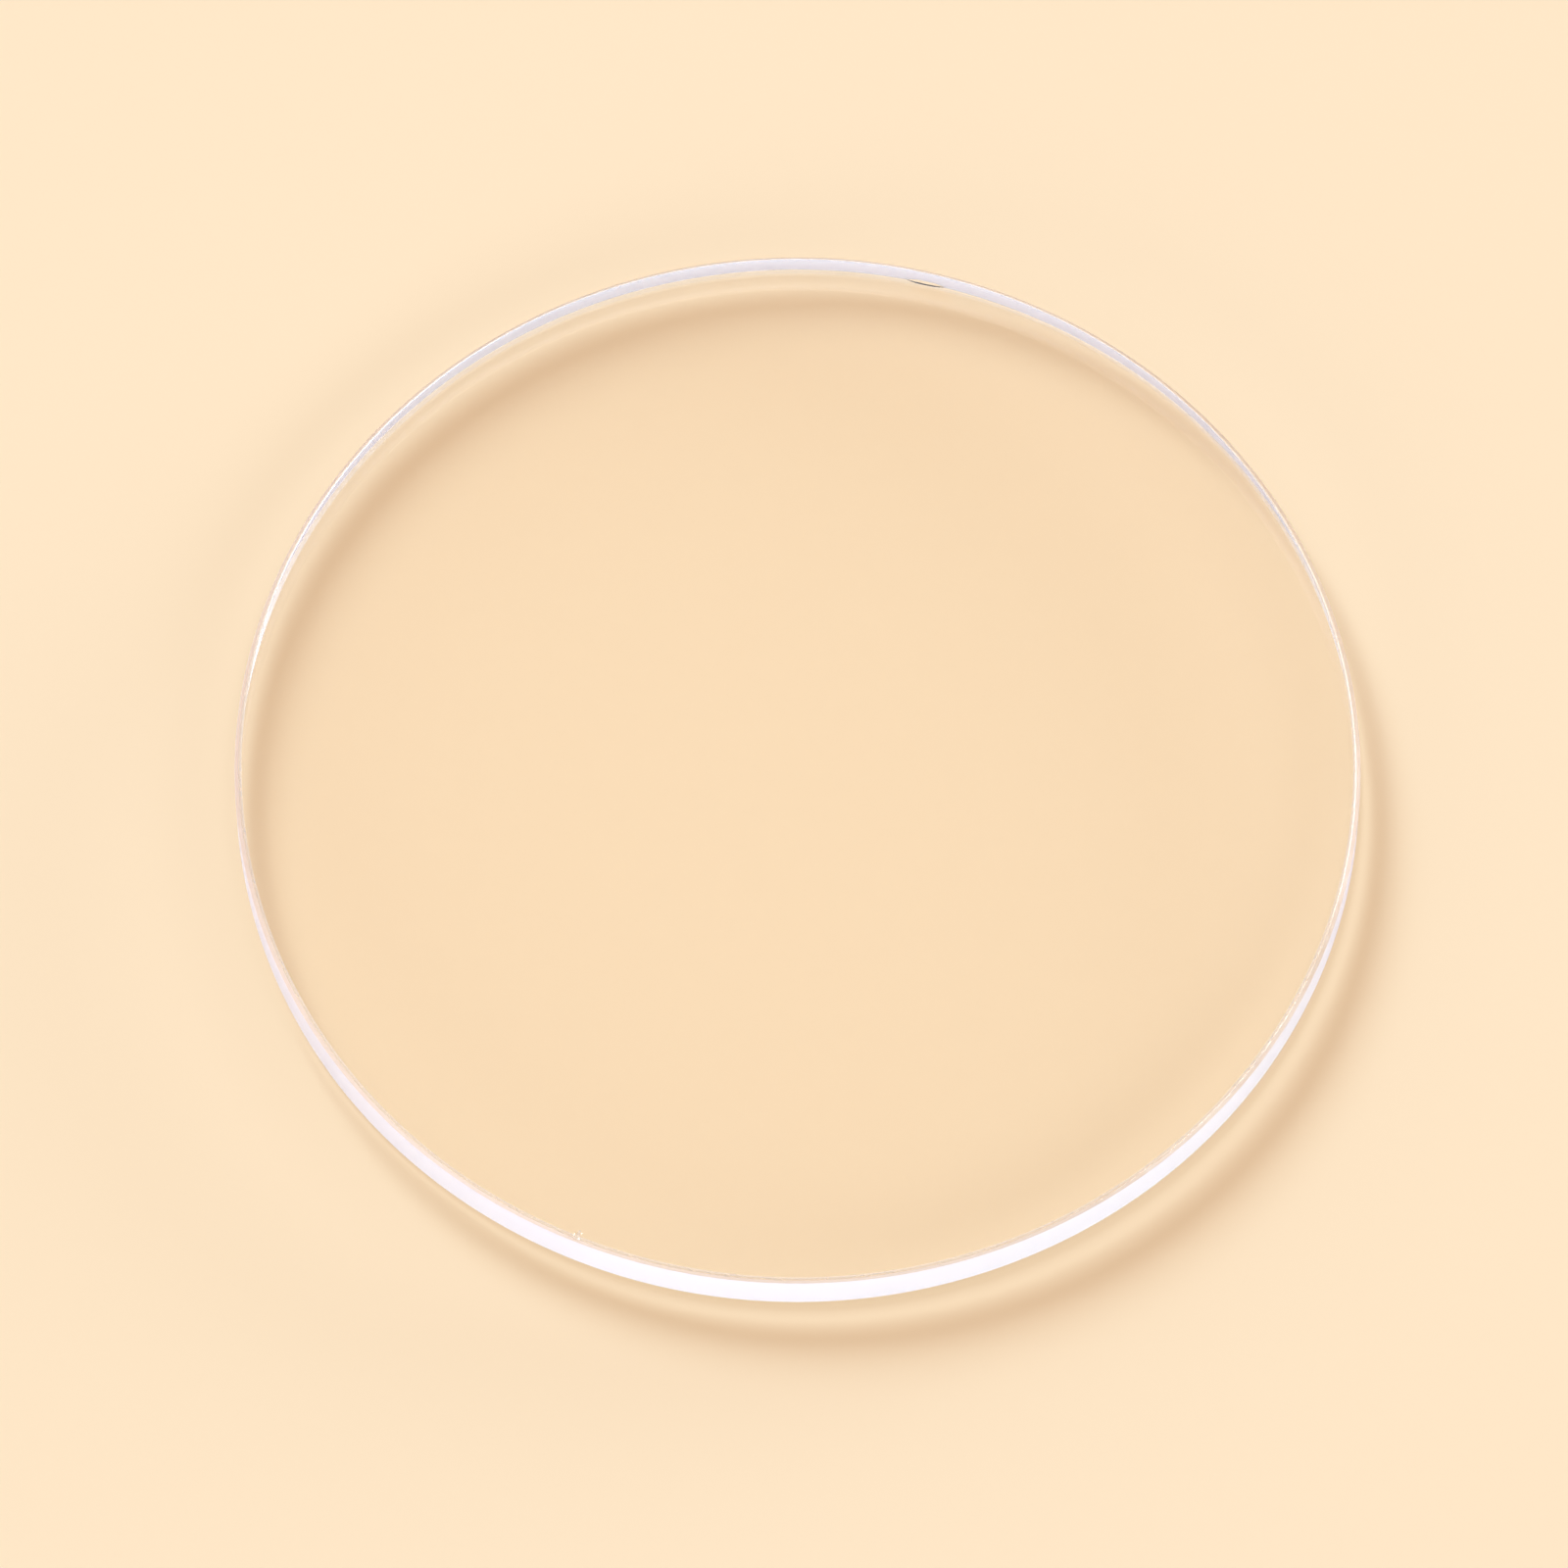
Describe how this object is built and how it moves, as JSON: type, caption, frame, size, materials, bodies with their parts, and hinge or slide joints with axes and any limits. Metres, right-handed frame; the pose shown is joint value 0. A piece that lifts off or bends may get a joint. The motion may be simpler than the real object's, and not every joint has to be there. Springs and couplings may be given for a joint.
{
  "type": "watch crystal",
  "caption": "Flat round watch crystal: a clear glass disc with a ground rim and bevelled edges that covers a watch dial.",
  "frame": {"origin": "centre of the underside, the flat face that looks at the dial", "axes": "+Z along the disc's axis, out of the watch, from the underside to the upper face; X and Y lie in the underside"},
  "size_m": [0.03, 0.03, 0.0015],
  "materials": {
    "crystal_glass": "clear colourless mineral glass, polished faces, finely ground rim"
  },
  "bodies": {
    "root": {"crystal": "crystal_glass"}
  },
  "joints": []
}
